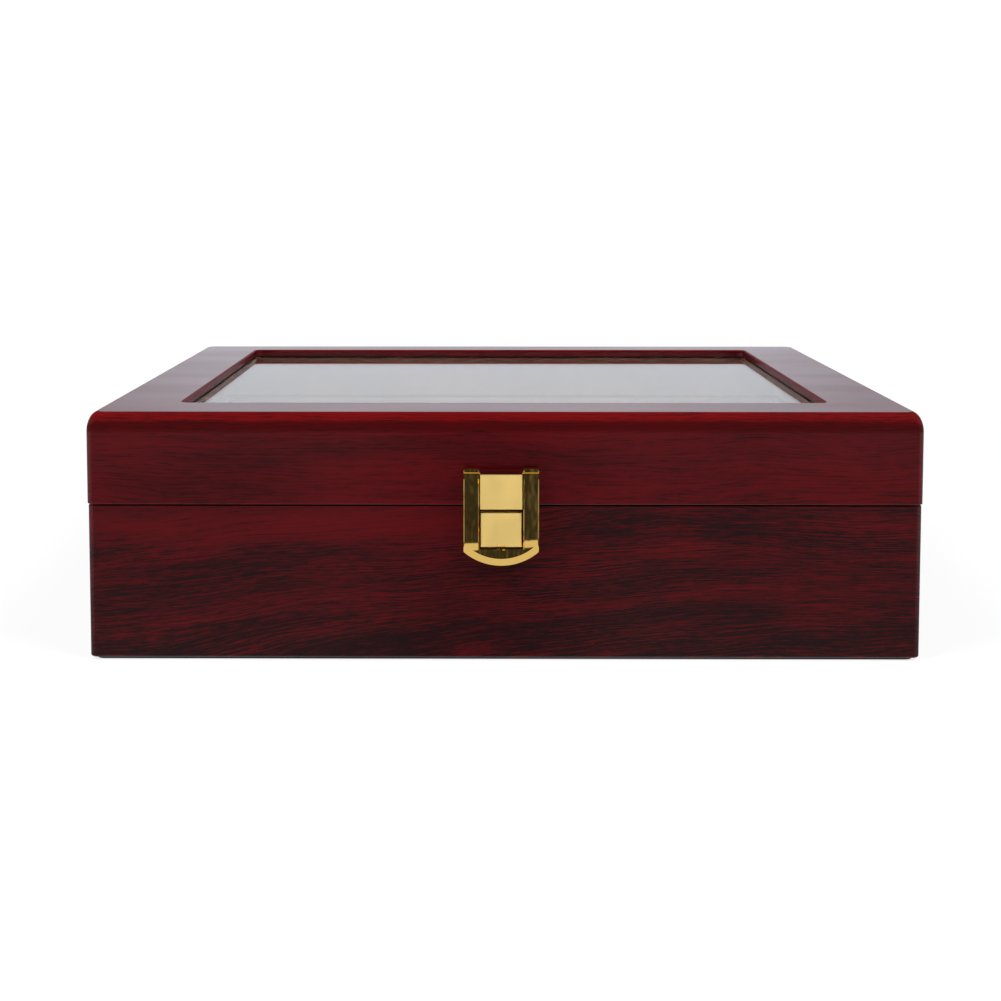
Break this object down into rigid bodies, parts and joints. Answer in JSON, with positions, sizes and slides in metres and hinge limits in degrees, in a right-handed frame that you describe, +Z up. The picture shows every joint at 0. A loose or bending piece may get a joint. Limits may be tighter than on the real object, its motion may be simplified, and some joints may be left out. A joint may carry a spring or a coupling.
{
  "type": "coin display case",
  "caption": "Lacquered wooden case with a glazed hinged lid, a flip latch and a lift-out velvet tray of square coin cells.",
  "frame": {"origin": "middle of the resting face, on the surface that the case stands on", "axes": "+X along the case's length, to the right seen from the front; -Y towards the latch; +Z up"},
  "size_m": [0.3006, 0.2542, 0.09],
  "materials": {
    "rosewood_lacquer": "dark red straight grain under high-gloss lacquer",
    "cream_velvet": "short cream velvet on board",
    "bare_board": "bare fibreboard",
    "black_felt": "pressed felt",
    "black_seal": "matte glazing seal",
    "clear_glass": "clear float glass",
    "satin_brass": "satin gold plating",
    "polished_brass": "polished gold plating"
  },
  "bodies": {
    "base": {"base_wall_front": "rosewood_lacquer", "base_wall_rear": "rosewood_lacquer", "base_wall_left": "rosewood_lacquer", "base_wall_right": "rosewood_lacquer", "base_liner_front": "cream_velvet", "base_liner_rear": "cream_velvet", "base_liner_left": "cream_velvet", "base_liner_right": "cream_velvet", "base_bottom_panel": "bare_board", "base_floor_lining": "cream_velvet", "underside_felt": "black_felt", "tray_ledge_left": "cream_velvet", "tray_ledge_right": "cream_velvet", "hinge_base_leaf_left": "polished_brass", "hinge_base_leaf_right": "polished_brass", "hinge_pin_left": "polished_brass", "hinge_pin_right": "polished_brass", "hinge_base_screws": "polished_brass", "latch_catch": "satin_brass"},
    "lid": {"lid_wall_front": "rosewood_lacquer", "lid_wall_rear": "rosewood_lacquer", "lid_wall_left": "rosewood_lacquer", "lid_wall_right": "rosewood_lacquer", "lid_lining_front": "cream_velvet", "lid_lining_rear": "cream_velvet", "lid_lining_left": "cream_velvet", "lid_lining_right": "cream_velvet", "glazing_bead_front": "cream_velvet", "glazing_bead_rear": "cream_velvet", "glazing_bead_left": "cream_velvet", "glazing_bead_right": "cream_velvet", "lid_top_frame": "rosewood_lacquer", "window_seal": "black_seal", "window_glass": "clear_glass", "bead_pins": "polished_brass", "hinge_lid_leaf_left": "polished_brass", "hinge_lid_leaf_right": "polished_brass", "hinge_lid_screws": "polished_brass", "latch_lid_plate": "satin_brass", "latch_nails": "polished_brass", "latch_pin": "polished_brass"},
    "latch_flap": {"latch_flap": "polished_brass"},
    "coin_tray": {"tray_wall_front": "cream_velvet", "tray_wall_rear": "cream_velvet", "tray_wall_left": "cream_velvet", "tray_wall_right": "cream_velvet", "long_divider_1": "cream_velvet", "long_divider_2": "cream_velvet", "long_divider_3": "cream_velvet", "cross_divider_1": "cream_velvet", "cross_divider_2": "cream_velvet", "cross_divider_3": "cream_velvet", "cross_divider_4": "cream_velvet", "tray_board": "bare_board", "tray_floor_lining": "cream_velvet"}
  },
  "joints": [
    {"name": "lid_hinge", "type": "hinge", "parent": "base", "child": "lid", "pos_m": [0, 0.1251, 0.05665], "axis": [-1, 0, 0], "range_deg": [0, 100]},
    {"name": "latch_flap_hinge", "type": "hinge", "parent": "lid", "child": "latch_flap", "pos_m": [-0.0012, -0.125, 0.069], "axis": [-1, 0, 0], "range_deg": [0, 150]},
    {"name": "tray_lift", "type": "slide", "parent": "base", "child": "coin_tray", "axis": [0, 0, 1], "range_m": [0, 0.018]}
  ]
}
